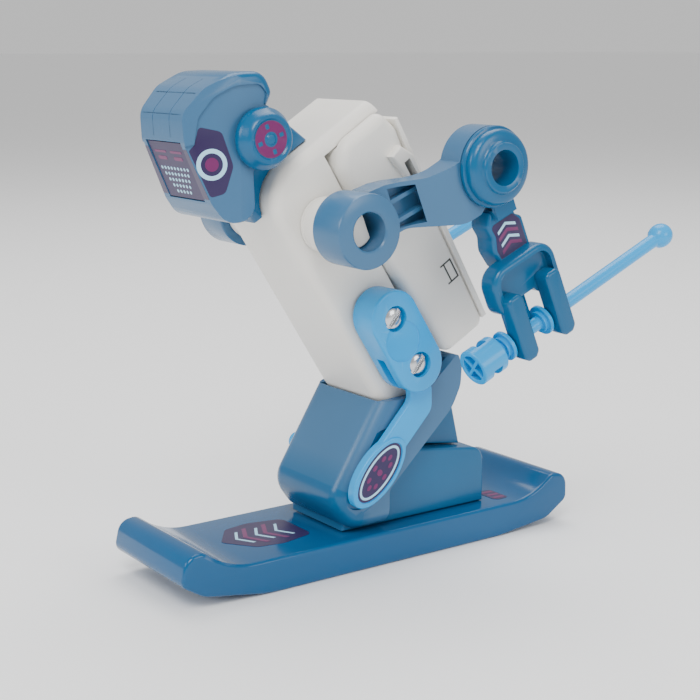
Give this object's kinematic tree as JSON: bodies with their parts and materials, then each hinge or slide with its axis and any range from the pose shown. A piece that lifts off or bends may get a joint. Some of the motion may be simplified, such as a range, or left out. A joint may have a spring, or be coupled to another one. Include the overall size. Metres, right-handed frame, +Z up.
{
  "type": "skiing robot kit figure",
  "caption": "Toy robot on a wide ski holding ski poles; a motor, cranks and links rock its forward-leaning body on the leg block.",
  "frame": {"origin": "on the ground plane under the middle of the ski", "axes": "+Z up, -Y the way the robot faces, +X the robot's left side"},
  "size_m": [0.0972, 0.166, 0.1485],
  "materials": {
    "blue_plastic": "glossy moulded",
    "sky_plastic": "glossy moulded",
    "shell_plastic": "semi-gloss moulded",
    "visor_plastic": "glossy printed",
    "switch_plastic": "satin",
    "gear_plastic": "satin",
    "steel": "plated",
    "brass": "machined",
    "cell_wrap": "printed wrap"
  },
  "bodies": {
    "base": {"ski_board": "blue_plastic", "foot_block": "blue_plastic", "leg_shell": "blue_plastic", "rear_strut": "blue_plastic", "hip_pin": "steel", "ankle_pin_left": "steel", "ankle_pin_right": "steel"},
    "torso": {"front_shell": "shell_plastic", "battery_box": "shell_plastic", "battery_left": "cell_wrap", "battery_right": "cell_wrap", "contact_lower": "steel", "contact_upper": "steel", "motor_can": "steel", "neck_bracket": "blue_plastic"},
    "door": {"battery_door": "shell_plastic"},
    "switch": {"switch_knob": "switch_plastic"},
    "pinion": {"motor_pinion": "brass"},
    "crank": {"crank_gear": "gear_plastic", "crank_axle": "steel", "crank_left": "sky_plastic", "crank_right": "sky_plastic", "axle_screw_left": "steel", "axle_screw_right": "steel", "crank_pin_left": "steel", "crank_pin_right": "steel"},
    "left_link": {"link_left": "sky_plastic"},
    "right_link": {"link_right": "sky_plastic"},
    "head": {"head_shell": "blue_plastic", "face_visor": "visor_plastic", "ear_disc_left": "blue_plastic", "ear_disc_right": "blue_plastic"},
    "arms": {"shoulder_shaft": "shell_plastic", "upper_arm_left": "blue_plastic", "upper_arm_right": "blue_plastic"},
    "left_forearm": {"forearm_left": "blue_plastic"},
    "right_forearm": {"forearm_right": "blue_plastic"},
    "left_pole": {"pole_left": "sky_plastic"},
    "right_pole": {"pole_right": "sky_plastic"}
  },
  "joints": [
    {"name": "hip_rock", "type": "hinge", "parent": "base", "child": "torso", "pos_m": [0, 0.0075, 0.0565], "axis": [1, 0, 0], "range_deg": [-4, 8]},
    {"name": "crank_turn", "type": "hinge", "parent": "torso", "child": "crank", "pos_m": [0, -0.00335, 0.0772], "axis": [1, 0, 0], "range_deg": [-1.16, 2.22]},
    {"name": "motor_turn", "type": "hinge", "parent": "torso", "child": "pinion", "pos_m": [0, -0.01022, 0.08817], "axis": [1, 0, 0], "range_deg": [-4.76, 2.43]},
    {"name": "link_left_swing", "type": "hinge", "parent": "base", "child": "left_link", "pos_m": [0.021, -0.0066, 0.0304], "axis": [1, 0, 0], "range_deg": [-0.34, 0.58]},
    {"name": "link_right_swing", "type": "hinge", "parent": "base", "child": "right_link", "pos_m": [-0.021, -0.0066, 0.0304], "axis": [1, 0, 0], "range_deg": [-0.34, 0.58]},
    {"name": "shoulder_turn", "type": "hinge", "parent": "torso", "child": "arms", "pos_m": [0, -0.02148, 0.10519], "axis": [1, 0, 0], "range_deg": [-35, 25]},
    {"name": "elbow_left", "type": "hinge", "parent": "arms", "child": "left_forearm", "pos_m": [0.04, 0.01882, 0.12144], "axis": [1, 0, 0], "range_deg": [-8, 60]},
    {"name": "elbow_right", "type": "hinge", "parent": "arms", "child": "right_forearm", "pos_m": [-0.04, 0.01882, 0.12144], "axis": [1, 0, 0], "range_deg": [-8, 60]},
    {"name": "pole_left_roll", "type": "hinge", "parent": "left_forearm", "child": "left_pole", "pos_m": [0.042, 0.02571, 0.06889], "axis": [0, 0.9171, 0.3987], "continuous": true},
    {"name": "pole_right_roll", "type": "hinge", "parent": "right_forearm", "child": "right_pole", "pos_m": [-0.042, 0.02571, 0.06889], "axis": [0, 0.9171, 0.3987], "continuous": true},
    {"name": "head_nod", "type": "hinge", "parent": "torso", "child": "head", "pos_m": [0, -0.0424, 0.1303], "axis": [1, 0, 0], "range_deg": [-12, 6]},
    {"name": "switch_slide", "type": "slide", "parent": "torso", "child": "switch", "axis": [0, -0.531, 0.8474], "range_m": [0, 0.003]},
    {"name": "door_slide", "type": "slide", "parent": "torso", "child": "door", "axis": [0, 0.8474, 0.531], "range_m": [0, 0.012]}
  ],
  "couplings": [
    {"joint": "crank_turn", "follows": "hip_rock", "ratio": 0.265},
    {"joint": "motor_turn", "follows": "hip_rock", "ratio": -0.583},
    {"joint": "link_left_swing", "follows": "hip_rock", "ratio": 0.06},
    {"joint": "link_right_swing", "follows": "hip_rock", "ratio": 0.06}
  ]
}
